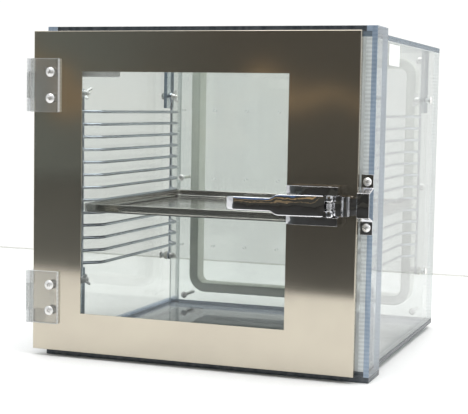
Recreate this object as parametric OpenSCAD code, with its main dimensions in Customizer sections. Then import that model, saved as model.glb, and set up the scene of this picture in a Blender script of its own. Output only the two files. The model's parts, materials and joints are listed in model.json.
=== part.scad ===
// Clear acrylic single-chamber dry cabinet: stainless framed door, wire tray racks, purge plenum.
// Millimetres. +X is to the right, +Y from the door to the back, +Z up from the resting surface.
// Shapes are drawn around the middle of the chamber, and placed() moves them onto the footprint's middle.

/* [Chamber] */
// Outer width of the clear chamber
chamber_w = 315; // [310:1:320]
// Outer height of the clear chamber
chamber_h = 309; // [305:1:315]
// Outer depth of the clear chamber
chamber_d = 316; // [312:1:322]
// Thickness of the clear panels
panel_t = 5; // [4.5:0.5:5.5]

/* [Collar] */
// Depth of the strips around the chamber's mouth
collar_depth = 40; // [36:1:44]
// Thickness of the strips, which also lifts the chamber off the table
collar_t = 5; // [4:0.5:5]
// Width of the sealing flange inside the mouth
flange_w = 10; // [8:0.5:10]
// Thickness of the sealing flange
flange_t = 6; // [4:0.5:8]

/* [Door] */
// Width of the door
door_w = 323; // [322:0.5:323]
// Height of the door
door_h = 308.5; // [304:0.5:310]
// Height of the door's lower edge above the table
door_lift = 6; // [5:0.5:8]
// How far the door's face stands in front of the chamber
door_stand_off = 10; // [9.9:0.1:11]
// How far the door reaches past the collar at the hinges
hinge_overhang = 10; // [10:0.5:11]
// Thickness of the stainless sheet
skin_t = 1.2; // [1:0.1:1.4]
// Depth of the bent edge of the stainless sheet
skin_return = 6; // [4:0.5:6]
// Width of the window
window_w = 206; // [196:1:208]
// Height of the window
window_h = 232; // [220:1:234]
// Width of the steel to the left of the window
left_stile = 51.5; // [50:0.5:54]
// Height of the steel below the window
bottom_rail = 38; // [36:0.5:40]
// Thickness of the clear panel in the door
glazing_t = 5; // [4.5:0.1:5]
// Width of the door gasket
gasket_w = 6; // [5:0.5:6]
// Thickness of the door gasket
gasket_t = 3.5; // [3:0.1:3.5]

/* [Hinges] */
// Height of a hinge
hinge_h = 51; // [48:1:54]
// Distance from the door's ends to the middle of a hinge
hinge_inset = 51.75; // [45:0.25:60]
// How far a hinge's front leaf reaches over the door
leaf_reach = 28; // [26:1:32]
// Thickness of a hinge leaf
leaf_t = 4; // [3.5:0.5:4]
// Outer radius of the hinge barrel
barrel_r = 3; // [2.8:0.1:3]
// Radius of the hinge pin
hinge_pin_r = 1.5; // [1.2:0.1:1.6]
// Height of the middle knuckle
knuckle_h = 25; // [20:1:30]

/* [Latch] */
// Height of the latch's middle above the table
latch_z = 159.5; // [140:0.5:180]
// Left end of the latch housing, measured from the middle of the chamber
housing_x = 88.5; // [87:0.5:90]
// Length of the latch housing
housing_len = 48; // [47:0.5:49]
// Height of the latch housing
housing_h = 34.5; // [34:0.5:38]
// How far the latch housing stands out from the door
housing_depth = 15.5; // [15.5:0.5:17]
// Height of the slot between the two rails of the housing
slot_h = 19.6; // [19.6:0.1:21]
// Radius of the latch's pivot pin
pivot_r = 2; // [1.8:0.1:2]
// Length of the handle from the pivot pin to its tip
handle_len = 92.5; // [85:0.5:100]
// Height of the handle's narrow grip
grip_h = 12; // [10:0.5:14]
// Distance from the pivot pin to the crank tip that draws the bolt
crank_reach = 6.8; // [6.6:0.1:6.8]

/* [Racks] */
// Number of rungs on each rack
rung_count = 13; // [6:1:13]
// Height from one rung to the next
rung_pitch = 12.7; // [12.5:0.1:12.8]
// Height of the lowest rung above the table
first_rung_z = 85.5; // [84:0.5:86]
// Radius of the rung wire
rung_r = 1.6; // [1.4:0.1:1.6]
// Radius of the upright wire
upright_r = 1.4; // [1.2:0.1:1.4]
// Distance of the upright wires from the middle of the chamber, front and back
upright_y = 113.5; // [112:0.5:113.5]
// Distance of the rungs' long stretch from the middle of the chamber
rung_x = 132; // [130:0.5:134]
// Height of the lower rack screws
rack_low_z = 69; // [66:1:70]
// Height of the upper rack screws
rack_high_z = 256; // [255:1:260]

/* [Tray] */
// Width of the tray
tray_w = 282; // [276:1:284]
// Depth of the tray from front to back
tray_d = 247; // [240:1:247]
// Height of the tray's rim
tray_h = 8.8; // [7:0.1:8.8]
// Number of the rung that the tray rests on, counted up from 0
tray_rung = 4; // [0:1:5]
// Thickness of the tray's sheet
tray_t = 1.2; // [1:0.1:1.4]

/* [Plenum] */
// Space between the perforated panel and the back panel
plenum_gap = 21; // [20:1:22]
// Thickness of the perforated panel
plenum_t = 4; // [3:0.5:4]
// Radius of the purge holes
purge_hole_r = 1.5; // [1:0.1:2]
// Width across the plenum gasket
plenum_gasket_w = 267; // [260:1:268]
// Height of the plenum gasket
plenum_gasket_h = 277; // [268:1:278]
// Width of the plenum gasket's section
plenum_gasket_band = 11.5; // [10:0.5:13]
// Radius of the purge inlet's hose stub
inlet_r = 4; // [3.5:0.1:4]

/* [Fasteners] */
// Radius of the hinge screws' heads
hinge_head_r = 4.7; // [4:0.1:4.8]
// Radius of the screws' shanks
screw_r = 2; // [1.5:0.1:2]
// Radius of the screws' heads
head_r = 4; // [3.5:0.1:4]
// Height of the screws' heads
head_h = 2.4; // [2:0.1:2.6]

/* [Hidden] */
$fn = 48;

// Clearances
hole_gap = 0.1;
pin_gap = 0.05;
part_gap = 0.3;
knuckle_gap = 0.4;
tray_gap = 0.2;
// Far enough past a face for a cut to go right through
past = 1;

// Chamber planes
wall_x = chamber_w / 2;
inner_x = wall_x - panel_t;
front_y = -chamber_d / 2;
back_y = chamber_d / 2;
rear_y = back_y - panel_t;
base_z = collar_t;
floor_z = base_z + panel_t;
roof_z = base_z + chamber_h;
ceiling_z = roof_z - panel_t;
collar_x = wall_x + collar_t;
collar_z = roof_z + collar_t;
collar_y = front_y + collar_depth;

// Door planes
door_x0 = -collar_x - hinge_overhang;
door_x1 = door_x0 + door_w;
door_z0 = door_lift;
door_z1 = door_lift + door_h;
door_y = front_y - door_stand_off;
glazing_y = door_y + skin_t;
glazing_back = glazing_y + glazing_t;
gasket_back = glazing_back + gasket_t;
window_x0 = door_x0 + left_stile;
window_x1 = window_x0 + window_w;
window_z0 = door_z0 + bottom_rail;
window_z1 = window_z0 + window_h;
glazing_inset = skin_t + 0.1;
gasket_side_gap = 3.5;
gasket_end_gap = 1.5;
gasket_x = inner_x - gasket_side_gap;
gasket_z0 = floor_z + gasket_end_gap;
gasket_z1 = ceiling_z - gasket_end_gap;

// Hinge places
hinge_x = door_x0 - barrel_r - 0.5;
hinge_y = door_y - 1.5;
hinge_z = [door_z0 + hinge_inset, door_z1 - hinge_inset];
leaf_clear = barrel_r + knuckle_gap;
body_leaf_x1 = door_x0 - part_gap;
body_leaf_x0 = body_leaf_x1 - leaf_t;
body_leaf_back = hinge_y + leaf_reach + leaf_clear;
hinge_screw_reach = 19.8;
hinge_screw_dz = 12.5;
spacer_y0 = front_y + 1;

// Latch places
housing_x1 = housing_x + housing_len;
base_t = 2;
base_y = door_y - base_t;
rail_y = door_y - housing_depth;
rail_h = (housing_h - slot_h) / 2;
rail_bevel = 9;
rail_drop = 3.5;
pivot_x = housing_x1 - 8.5;
pivot_y = door_y - 11.5;
boss_r = 4;
boss_h = 5.5;
wide_h = slot_h - 0.8;
handle_tip_x = pivot_x - handle_len;
handle_front_y = door_y - 25;
latch_screw_x = [housing_x + 5, housing_x + 15];
crank_r = 1.2;
crank_z0 = latch_z - 8;
crank_h = 4;
crank_y = pivot_y + crank_reach;
bolt_h = slot_h - 2.2;
bolt_back = base_y - 0.2;
bolt_front = bolt_back - 5;
bolt_x0 = pivot_x - 11;
bolt_tip_x = door_x1 + 0.5;
nose_r = 3.9;
nose_x = housing_x1 + 4.9;
nose_y = bolt_front + 0.6;
spring_wire_r = 0.45;
spring_r = pivot_r + 0.3 + spring_wire_r;
spring_turns = 6;
spring_pitch = 1.05;

// Strike places
strike_z = latch_z + 1.2;
strike_x0 = bolt_tip_x + 0.4;
strike_x1 = collar_x - 0.1;
strike_h = 54;
strike_ear = 13;
strike_t = 1.3;
strike_rise = 15.8;
strike_slope = 4;
strike_screw_dz = 20.5;
strike_screw_x = (strike_x0 + strike_x1) / 2;
small_head_r = 3.9;

// Rack places
rack_t = 2.4;
strip_t = 4;
strip_w = 20;
upright_x = inner_x - strip_t - rack_t / 2 - 0.3;
eye_x0 = inner_x - strip_t - rack_t;
eye_x1 = inner_x - strip_t;
eye_r = 4.6;
weld_lap = 0.5;
rung_setback = 16.5;
elbow_r = rung_r + 0.12;
strip_low_top = rack_low_z + 11;
strip_high_bottom = rack_high_z - 14;
nut_h = 5;
rack_zs = [rack_low_z, rack_high_z];
rack_ys = [-upright_y, upright_y];

// Tray places
tray_y0 = -125;
tray_z0 = first_rung_z + tray_rung * rung_pitch + rung_r + tray_gap;

// Plenum places
plenum_back = rear_y - plenum_gap;
plenum_y = plenum_back - plenum_t;
purge_columns = 8;
purge_rows = 3;
purge_dx = 39.4;
purge_dz = 79.5;
purge_z = 160.5;
plenum_corner_r = 20;
plenum_gasket_x = 4;
plenum_gasket_z = purge_z + 3.2;
plenum_corner_x = plenum_gasket_w / 2 + 4;
plenum_side_x = plenum_gasket_w / 2 + 10;
plenum_screw_z = [21, 299];
plenum_edge_z = 17;
plenum_screw_places = concat(
    [for (side = [-1, 1]) for (z = plenum_screw_z) [plenum_gasket_x + side * plenum_corner_x, z]],
    [for (side = [-1, 1]) [plenum_gasket_x + side * plenum_side_x, purge_z]],
    [[0, plenum_edge_z]]
);
stem_r = 5;
inlet_bore_r = 2.5;
inlet_flange_r = 8;
inlet_flange_t = 4;
inlet_len = 16;
inlet_nut_r = 8.5;
inlet_nut_h = 5;

// Feet
foot_r = 10;
foot_x = 120;
foot_y = 130;

// The whole outline, whose middle is the origin
left_extent = body_leaf_x0 - head_h;
right_extent = collar_x;
front_extent = handle_front_y;
rear_extent = back_y + inlet_flange_t + inlet_len;
mid_x = (left_extent + right_extent) / 2;
mid_y = (front_extent + rear_extent) / 2;

// Shared shapes

module placed() {
    translate([-mid_x, -mid_y, 0]) children();
}

module block(x0, x1, y0, y1, z0, z1) {
    translate([x0, y0, z0]) cube([x1 - x0, y1 - y0, z1 - z0]);
}

module rod_x(r, x0, x1, y, z) {
    translate([x0, y, z]) rotate([0, 90, 0]) cylinder(h = x1 - x0, r = r);
}

module rod_y(r, y0, y1, x, z) {
    translate([x, y0, z]) rotate([-90, 0, 0]) cylinder(h = y1 - y0, r = r);
}

module rod_z(r, z0, z1, x, y) {
    translate([x, y, z0]) cylinder(h = z1 - z0, r = r);
}

// A straight wire between two points
module wire(p, q, r) {
    d = q - p;
    translate(p)
        rotate([0, acos(d[2] / norm(d)), atan2(d[1], d[0])])
            cylinder(h = norm(d), r = r);
}

// An outline in X and Z, pulled back along Y from y0 to y1
module upright_outline(y0, y1) {
    translate([0, y1, 0]) rotate([90, 0, 0]) linear_extrude(y1 - y0) children();
}

module rounded_outline(w, h, r) {
    square([w - 2 * r, h], center = true);
    square([w, h - 2 * r], center = true);
    for (x = [-1, 1]) for (z = [-1, 1]) translate([x * (w / 2 - r), z * (h / 2 - r)]) circle(r = r);
}

// A pan-head screw that enters along +Y from the origin, with a cross recess
module pan_screw(length, head = head_r) {
    recess_w = 1;
    recess_l = head * 1.1;
    recess_d = 1.2;
    difference() {
        union() {
            rod_y(head, -head_h, 0, 0, 0);
            rod_y(screw_r, -head_h / 2, length, 0, 0);
        }
        block(-recess_l / 2, recess_l / 2, -head_h - past, -head_h + recess_d, -recess_w / 2, recess_w / 2);
        block(-recess_w / 2, recess_w / 2, -head_h - past, -head_h + recess_d, -recess_l / 2, recess_l / 2);
    }
}

// Chamber

module bottom_panel() {
    color("lightcyan", 0.4) placed() block(-wall_x, wall_x, front_y, back_y, base_z, floor_z);
}

module top_panel() {
    color("lightcyan", 0.4) placed() block(-wall_x, wall_x, front_y, back_y, ceiling_z, roof_z);
}

// side is -1 for the left wall and 1 for the right wall
module side_wall(side) {
    difference() {
        mirror([side < 0 ? 1 : 0, 0, 0])
            block(inner_x, wall_x, front_y, back_y, floor_z, ceiling_z);
        for (y = rack_ys) for (z = rack_zs) {
            rod_x(screw_r + hole_gap, -wall_x - past, wall_x + past, y, z);
        }
    }
}

module left_wall() {
    color("lightcyan", 0.4) placed() side_wall(-1);
}

module right_wall() {
    color("lightcyan", 0.4) placed() difference() {
        side_wall(1);
        strike_screw_holes();
    }
}

module back_panel() {
    screw_end = back_y - 0.5;
    color("lightcyan", 0.4) placed() difference() {
        block(-inner_x, inner_x, rear_y, back_y, floor_z, ceiling_z);
        rod_y(stem_r + hole_gap, rear_y - past, back_y + past, 0, purge_z);
        for (p = plenum_screw_places) rod_y(screw_r + hole_gap, rear_y - past, screw_end, p[0], p[1]);
    }
}

module collar_bottom() {
    color("lightsteelblue", 0.5) placed() block(-collar_x, collar_x, front_y, collar_y, 0, base_z);
}

module collar_top() {
    color("lightsteelblue", 0.5) placed() block(-inner_x, inner_x, front_y, collar_y, roof_z, collar_z);
}

// A side strip, whose top end reaches in over the wall's edge
module collar_side() {
    block(wall_x, collar_x, front_y, collar_y, base_z, collar_z);
    block(inner_x, wall_x + past, front_y, collar_y, roof_z, collar_z);
}

module collar_left() {
    color("lightsteelblue", 0.5) placed() difference() {
        mirror([1, 0, 0]) collar_side();
        for (zc = hinge_z) for (dz = [-hinge_screw_dz, hinge_screw_dz]) {
            rod_x(screw_r + hole_gap, -collar_x - past, -wall_x + past, door_y + hinge_screw_reach, zc + dz);
        }
    }
}

module collar_right() {
    color("lightsteelblue", 0.5) placed() difference() {
        collar_side();
        strike_screw_holes();
    }
}

module front_flange() {
    color("lightsteelblue", 0.5) placed() difference() {
        block(-inner_x, inner_x, front_y, front_y + flange_t, floor_z, ceiling_z);
        block(
            -inner_x + flange_w, inner_x - flange_w,
            front_y - past, front_y + flange_t + past,
            floor_z + flange_w, ceiling_z - flange_w
        );
    }
}

module rear_feet() {
    color("dimgray") placed() for (x = [-foot_x, foot_x]) rod_z(foot_r, 0, base_z, x, foot_y);
}

// Plenum

module plenum_panel() {
    color("lightcyan", 0.4) placed() difference() {
        block(-inner_x + 0.2, inner_x - 0.2, plenum_y, plenum_back, floor_z, ceiling_z);
        for (column = [0 : purge_columns - 1]) for (row = [0 : purge_rows - 1]) {
            x = (column - (purge_columns - 1) / 2) * purge_dx;
            z = purge_z + (row - (purge_rows - 1) / 2) * purge_dz;
            rod_y(purge_hole_r, plenum_y - past, plenum_back + past, x, z);
        }
        for (p = plenum_screw_places) {
            rod_y(screw_r + hole_gap, plenum_y - past, plenum_back + past, p[0], p[1]);
        }
    }
}

module plenum_gasket() {
    color("darkgray") placed()
        translate([plenum_gasket_x, 0, plenum_gasket_z]) upright_outline(plenum_back, rear_y) difference() {
            rounded_outline(plenum_gasket_w, plenum_gasket_h, plenum_corner_r);
            rounded_outline(
                plenum_gasket_w - 2 * plenum_gasket_band,
                plenum_gasket_h - 2 * plenum_gasket_band,
                plenum_corner_r - plenum_gasket_band
            );
        }
}

module plenum_screws() {
    length = back_y - 1 - plenum_y;
    color("silver") placed() for (p = plenum_screw_places) {
        translate([p[0], plenum_y, p[1]]) pan_screw(length);
    }
}

module purge_inlet() {
    color("gainsboro") placed() difference() {
        union() {
            rod_y(stem_r, rear_y - inlet_nut_h, back_y + past, 0, purge_z);
            rod_y(inlet_flange_r, back_y, back_y + inlet_flange_t, 0, purge_z);
            rod_y(inlet_r, back_y + past, back_y + inlet_flange_t + inlet_len, 0, purge_z);
        }
        rod_y(inlet_bore_r, plenum_back, rear_extent + past, 0, purge_z);
    }
}

module purge_inlet_nut() {
    color("gainsboro") placed() difference() {
        translate([0, rear_y - inlet_nut_h, purge_z])
            rotate([-90, 0, 0]) cylinder(h = inlet_nut_h, r = inlet_nut_r, $fn = 6);
        rod_y(stem_r + pin_gap, rear_y - inlet_nut_h - past, rear_y + past, 0, purge_z);
    }
}

// Racks

module rack_support_strips() {
    color("lightcyan", 0.5) placed() for (side = [0, 1]) mirror([side, 0, 0]) {
        difference() {
            block(eye_x1, inner_x, -upright_y - strip_w / 2, -upright_y + strip_w / 2, floor_z, strip_low_top);
            rod_x(screw_r + hole_gap, eye_x1 - past, inner_x + past, -upright_y, rack_low_z);
        }
        difference() {
            block(
                eye_x1, inner_x,
                upright_y - strip_w / 2, upright_y + strip_w / 2,
                strip_high_bottom, ceiling_z
            );
            rod_x(screw_r + hole_gap, eye_x1 - past, inner_x + past, upright_y, rack_high_z);
        }
    }
}

module rack_spacer(y, z) {
    difference() {
        rod_x(eye_r, eye_x1, inner_x, y, z);
        rod_x(screw_r + hole_gap, eye_x1 - past, inner_x + past, y, z);
    }
}

module rack_spacers() {
    color("whitesmoke") placed() for (side = [0, 1]) mirror([side, 0, 0]) {
        rack_spacer(-upright_y, rack_high_z);
        rack_spacer(upright_y, rack_low_z);
    }
}

// The screws enter from outside, pass the wall, the strip or spacer and the rack's eye, and end in the nuts
module rack_screws() {
    length = wall_x - eye_x0 + nut_h + 1.5;
    color("silver") placed() for (side = [0, 1]) mirror([side, 0, 0]) {
        for (y = rack_ys) for (z = rack_zs) {
            translate([wall_x, y, z]) rotate([0, 0, 90]) pan_screw(length);
        }
    }
}

module wing_nut() {
    hub_r = 3.6;
    wing_l = 8;
    wing_t = 1.6;
    wing_h = 5;
    difference() {
        union() {
            rod_x(hub_r, -nut_h, 0, 0, 0);
            for (a = [0, 180]) rotate([a, 0, 0]) block(-nut_h - 2, -1, -wing_t / 2, wing_t / 2, 1, wing_l);
        }
        rod_x(screw_r + pin_gap, -nut_h - 2 - past, past, 0, 0);
    }
}

module rack_wing_nuts() {
    turn = 40;
    color("silver") placed() for (side = [0, 1]) mirror([side, 0, 0]) {
        for (y = rack_ys) for (z = rack_zs) {
            translate([eye_x0, y, z]) rotate([turn, 0, 0]) wing_nut();
        }
    }
}

// One side's pair of upright wires, each with a flat eye at both ends
module rack_uprights() {
    for (y = rack_ys) difference() {
        union() {
            rod_z(upright_r, rack_low_z + eye_r - weld_lap, rack_high_z - eye_r + weld_lap, upright_x, y);
            for (z = rack_zs) rod_x(eye_r, eye_x0, eye_x1, y, z);
        }
        for (z = rack_zs) rod_x(screw_r + hole_gap, eye_x0 - past, eye_x1 + past, y, z);
    }
}

// One bent rung: a leg in from each upright and a long stretch that carries the trays.
// A short upright rod, a little thicker than the wire, closes each corner.
module rung(z) {
    corner_y = upright_y - rung_setback;
    wire([rung_x, -corner_y, z], [rung_x, corner_y, z], rung_r);
    for (side = [-1, 1]) {
        wire([rung_x, side * corner_y, z], [upright_x, side * upright_y, z], rung_r);
        rod_z(elbow_r, z - elbow_r, z + elbow_r, rung_x, side * corner_y);
    }
}

module rack_rungs() {
    for (k = [0 : rung_count - 1]) rung(first_rung_z + k * rung_pitch);
}

module left_rack_uprights() {
    color("silver") placed() mirror([1, 0, 0]) rack_uprights();
}

module left_rack_rungs() {
    color("silver") placed() mirror([1, 0, 0]) rack_rungs();
}

module right_rack_uprights() {
    color("silver") placed() rack_uprights();
}

module right_rack_rungs() {
    color("silver") placed() rack_rungs();
}

// Strike

module strike_outline() {
    half = strike_h / 2;
    ear = half - strike_ear;
    polygon([
        [0, -half], [0, -ear], [-strike_rise + strike_t, -ear + strike_slope],
        [-strike_rise + strike_t, ear - strike_slope], [0, ear], [0, half],
        [-strike_t, half], [-strike_t, ear + 1], [-strike_rise, ear - strike_slope + 1],
        [-strike_rise, -ear + strike_slope - 1], [-strike_t, -ear - 1], [-strike_t, -half]
    ]);
}

module strike_screw_holes() {
    for (dz = [-strike_screw_dz, strike_screw_dz]) {
        rod_y(screw_r + hole_gap, front_y - strike_t - past, front_y + 14, strike_screw_x, strike_z + dz);
    }
}

module strike_plate() {
    color("silver") placed() difference() {
        translate([strike_x0, front_y, strike_z])
            rotate([90, 0, 90]) linear_extrude(strike_x1 - strike_x0) strike_outline();
        strike_screw_holes();
    }
}

// Both are self-tapping screws in the edge of the right wall and the collar
module strike_screws() {
    color("gainsboro") placed() for (dz = [-strike_screw_dz, strike_screw_dz]) {
        translate([strike_screw_x, front_y - strike_t, strike_z + dz]) pan_screw(14, small_head_r);
    }
}

// Hinges

module hinge_spacers() {
    color("lightcyan", 0.5) placed() for (zc = hinge_z) difference() {
        block(body_leaf_x1, -collar_x, spacer_y0, body_leaf_back, zc - hinge_h / 2, zc + hinge_h / 2);
        body_screw_holes(zc);
    }
}

module body_screw_holes(zc) {
    for (dz = [-hinge_screw_dz, hinge_screw_dz]) {
        rod_x(screw_r + hole_gap, body_leaf_x0 - past, -wall_x, door_y + hinge_screw_reach, zc + dz);
    }
}

module hinge_body_screws() {
    length = -wall_x - 0.5 - body_leaf_x0;
    color("silver") placed() for (zc = hinge_z) for (dz = [-hinge_screw_dz, hinge_screw_dz]) {
        translate([body_leaf_x0, door_y + hinge_screw_reach, zc + dz]) rotate([0, 0, -90]) pan_screw(length, hinge_head_r);
    }
}

// The body leaf carries the two outer knuckles
module hinge_body_leaf(zc) {
    half = hinge_h / 2;
    mid = knuckle_h / 2 + knuckle_gap;
    difference() {
        union() {
            block(body_leaf_x0, body_leaf_x1, hinge_y + leaf_clear, body_leaf_back, zc - half, zc + half);
            for (z = [zc - half, zc + mid]) {
                rod_z(barrel_r, z, z + half - mid, hinge_x, hinge_y);
                block(body_leaf_x0, body_leaf_x1, hinge_y, hinge_y + leaf_clear + past, z, z + half - mid);
            }
        }
        rod_z(hinge_pin_r + pin_gap, zc - half - past, zc + half + past, hinge_x, hinge_y);
        body_screw_holes(zc);
    }
}

module hinge_pin(zc) {
    rod_z(hinge_pin_r, zc - hinge_h / 2, zc + hinge_h / 2, hinge_x, hinge_y);
}

module door_screw_holes(zc, depth_y) {
    for (dz = [-hinge_screw_dz, hinge_screw_dz]) {
        rod_y(screw_r + hole_gap, door_y - leaf_t - past, depth_y, door_x0 + hinge_screw_reach, zc + dz);
    }
}

// The door leaf carries the middle knuckle
module hinge_door_leaf(zc) {
    half = hinge_h / 2;
    mid = knuckle_h / 2;
    x1 = door_x0 + leaf_reach;
    difference() {
        union() {
            block(hinge_x + leaf_clear, x1, door_y - leaf_t, door_y, zc - half, zc + half);
            block(hinge_x, hinge_x + leaf_clear + past, door_y - leaf_t, door_y, zc - mid, zc + mid);
            rod_z(barrel_r, zc - mid, zc + mid, hinge_x, hinge_y);
        }
        rod_z(hinge_pin_r + pin_gap, zc - half - past, zc + half + past, hinge_x, hinge_y);
        door_screw_holes(zc, door_y + past);
    }
}

module upper_hinge_body_leaf() {
    color("lightcyan", 0.5) placed() hinge_body_leaf(hinge_z[1]);
}

module lower_hinge_body_leaf() {
    color("lightcyan", 0.5) placed() hinge_body_leaf(hinge_z[0]);
}

module upper_hinge_pin() {
    color("silver") placed() hinge_pin(hinge_z[1]);
}

module lower_hinge_pin() {
    color("silver") placed() hinge_pin(hinge_z[0]);
}

module upper_hinge_door_leaf() {
    color("lightcyan", 0.5) placed() hinge_door_leaf(hinge_z[1]);
}

module lower_hinge_door_leaf() {
    color("lightcyan", 0.5) placed() hinge_door_leaf(hinge_z[0]);
}

module hinge_door_screws() {
    length = leaf_t + skin_t + glazing_t - 0.7;
    color("silver") placed() for (zc = hinge_z) for (dz = [-hinge_screw_dz, hinge_screw_dz]) {
        translate([door_x0 + hinge_screw_reach, door_y - leaf_t, zc + dz]) pan_screw(length, hinge_head_r);
    }
}

// Door

module latch_screw_holes(depth_y) {
    for (x = latch_screw_x) rod_y(screw_r + hole_gap, base_y - past, depth_y, x, latch_z);
}

module door_skin() {
    color("silver") placed() difference() {
        block(door_x0, door_x1, door_y, door_y + skin_return, door_z0, door_z1);
        block(
            door_x0 + skin_t, door_x1 - skin_t,
            glazing_y, door_y + skin_return + past,
            door_z0 + skin_t, door_z1 - skin_t
        );
        block(window_x0, window_x1, door_y - past, glazing_y + past, window_z0, window_z1);
        for (zc = hinge_z) door_screw_holes(zc, glazing_y + past);
        latch_screw_holes(glazing_y + past);
    }
}

module door_glazing() {
    color("lightcyan", 0.4) placed() difference() {
        block(
            door_x0 + glazing_inset, door_x1 - glazing_inset,
            glazing_y, glazing_back,
            door_z0 + glazing_inset, door_z1 - glazing_inset
        );
        for (zc = hinge_z) door_screw_holes(zc, glazing_back - 0.5);
        latch_screw_holes(glazing_back - 0.5);
    }
}

module door_gasket() {
    color("gray") placed() difference() {
        block(-gasket_x, gasket_x, glazing_back, gasket_back, gasket_z0, gasket_z1);
        block(
            -gasket_x + gasket_w, gasket_x - gasket_w,
            glazing_back - past, gasket_back + past,
            gasket_z0 + gasket_w, gasket_z1 - gasket_w
        );
    }
}

// Latch

// One rail of the housing, with its left end sloped a little towards the door
module housing_rail(z) {
    translate([0, 0, z]) linear_extrude(rail_h) polygon([
        [housing_x, door_y], [housing_x, rail_y + rail_drop], [housing_x + rail_bevel, rail_y],
        [housing_x1, rail_y], [housing_x1, door_y]
    ]);
}

module latch_housing() {
    half = housing_h / 2;
    color("silver") placed() difference() {
        union() {
            block(housing_x, housing_x1, base_y, door_y, latch_z - half, latch_z + half);
            housing_rail(latch_z - half);
            housing_rail(latch_z + half - rail_h);
        }
        rod_z(pivot_r + pin_gap, latch_z - half - past, latch_z + half + past, pivot_x, pivot_y);
        latch_screw_holes(door_y + past);
    }
}

module latch_pivot_pin() {
    half = housing_h / 2;
    color("gainsboro") placed() rod_z(pivot_r, latch_z - half, latch_z + half, pivot_x, pivot_y);
}

// The coil as a stack of turns round the pivot pin
module latch_spring() {
    color("dimgray") placed() for (turn = [0 : spring_turns - 1]) {
        translate([pivot_x, pivot_y, latch_z + (turn - (spring_turns - 1) / 2) * spring_pitch])
            rotate_extrude() translate([spring_r, 0]) circle(r = spring_wire_r, $fn = 16);
    }
}

module latch_screws() {
    length = base_t + skin_t + glazing_t - 0.7;
    color("gainsboro") placed() for (x = latch_screw_x) {
        translate([x, base_y, latch_z]) pan_screw(length, small_head_r);
    }
}

// The handle seen from the front, as an outline in X and Z
module handle_front_outline() {
    grip = grip_h / 2;
    wide = wide_h / 2;
    shoulder = pivot_x - 45;
    polygon([
        [handle_tip_x, latch_z - grip + 1.5], [handle_tip_x + 1.5, latch_z - grip],
        [shoulder - 6, latch_z - grip], [shoulder, latch_z - wide],
        [pivot_x, latch_z - wide], [pivot_x, latch_z + wide],
        [shoulder, latch_z + wide], [shoulder - 6, latch_z + grip],
        [handle_tip_x + 1.5, latch_z + grip], [handle_tip_x, latch_z + grip - 1.5]
    ]);
}

// The handle seen from above, as an outline in X and Y
module handle_top_outline() {
    front = handle_front_y;
    polygon([
        [handle_tip_x, front + 3.5], [handle_tip_x + 7, front], [pivot_x - 50, front + 0.4],
        [pivot_x - 30, front + 2.2], [pivot_x - 12, front + 5.4], [pivot_x - 3, front + 8.4],
        [pivot_x - 2, pivot_y], [pivot_x - 8, pivot_y + 0.5], [pivot_x - 16, front + 11],
        [pivot_x - 34, front + 8], [pivot_x - 54, front + 6.6], [handle_tip_x, front + 6.6]
    ]);
}

module latch_handle() {
    wide = wide_h / 2;
    boss_gap = slot_h / 2 - boss_h;
    pocket_r = boss_r + 0.4;
    color("silver") placed() difference() {
        union() {
            intersection() {
                upright_outline(handle_front_y - past, door_y) handle_front_outline();
                translate([0, 0, latch_z - wide - past])
                    linear_extrude(wide_h + 2 * past) handle_top_outline();
            }
            rod_z(boss_r, latch_z - wide, latch_z + wide, pivot_x, pivot_y);
            rod_z(crank_r, crank_z0, crank_z0 + crank_h, pivot_x, crank_y);
            block(pivot_x - 1, pivot_x + 1, pivot_y, crank_y, crank_z0, crank_z0 + crank_h);
        }
        rod_z(pivot_r + hole_gap, latch_z - wide - past, latch_z + wide + past, pivot_x, pivot_y);
        rod_z(pocket_r, latch_z - boss_gap, latch_z + boss_gap, pivot_x, pivot_y);
    }
}

// The sliding bolt: a flat slide behind the pivot, a rounded nose and a thin tip that points at the strike
module latch_bolt() {
    half = bolt_h / 2;
    tip_half = half - 1.5;
    color("gainsboro") placed() difference() {
        union() {
            intersection() {
                translate([0, 0, latch_z - half]) linear_extrude(bolt_h) polygon([
                    [bolt_x0, bolt_back], [bolt_tip_x, bolt_back], [bolt_tip_x, bolt_back - 2],
                    [nose_x + 3, bolt_front], [bolt_x0, bolt_front]
                ]);
                upright_outline(bolt_front - past, bolt_back + past) polygon([
                    [bolt_x0, latch_z - half], [nose_x, latch_z - half], [bolt_tip_x, latch_z - tip_half],
                    [bolt_tip_x, latch_z + tip_half], [nose_x, latch_z + half], [bolt_x0, latch_z + half]
                ]);
            }
            rod_z(nose_r, latch_z - half, latch_z + half, nose_x, nose_y);
        }
        block(
            pivot_x - 2, pivot_x + 2.5, bolt_front - past, bolt_back - 1.1,
            latch_z - half - past, crank_z0 + crank_h + 0.5
        );
    }
}

// Tray

module tray() {
    x = tray_w / 2;
    y1 = tray_y0 + tray_d;
    hem = 2;
    color("silver") placed() difference() {
        block(-x, x, tray_y0, y1, tray_z0, tray_z0 + tray_h);
        block(
            -x + tray_t, x - tray_t, tray_y0 + hem, y1 - tray_t,
            tray_z0 + tray_t, tray_z0 + tray_h + past
        );
    }
}

bottom_panel();
top_panel();
left_wall();
right_wall();
back_panel();
collar_bottom();
collar_top();
collar_left();
collar_right();
front_flange();
rear_feet();
plenum_panel();
plenum_gasket();
plenum_screws();
purge_inlet();
purge_inlet_nut();
rack_support_strips();
rack_spacers();
rack_screws();
rack_wing_nuts();
left_rack_uprights();
left_rack_rungs();
right_rack_uprights();
right_rack_rungs();
strike_plate();
strike_screws();
hinge_spacers();
hinge_body_screws();
upper_hinge_body_leaf();
upper_hinge_pin();
lower_hinge_body_leaf();
lower_hinge_pin();
door_skin();
door_glazing();
door_gasket();
hinge_door_screws();
upper_hinge_door_leaf();
lower_hinge_door_leaf();
latch_housing();
latch_pivot_pin();
latch_spring();
latch_screws();
latch_handle();
latch_bolt();
tray();
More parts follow.
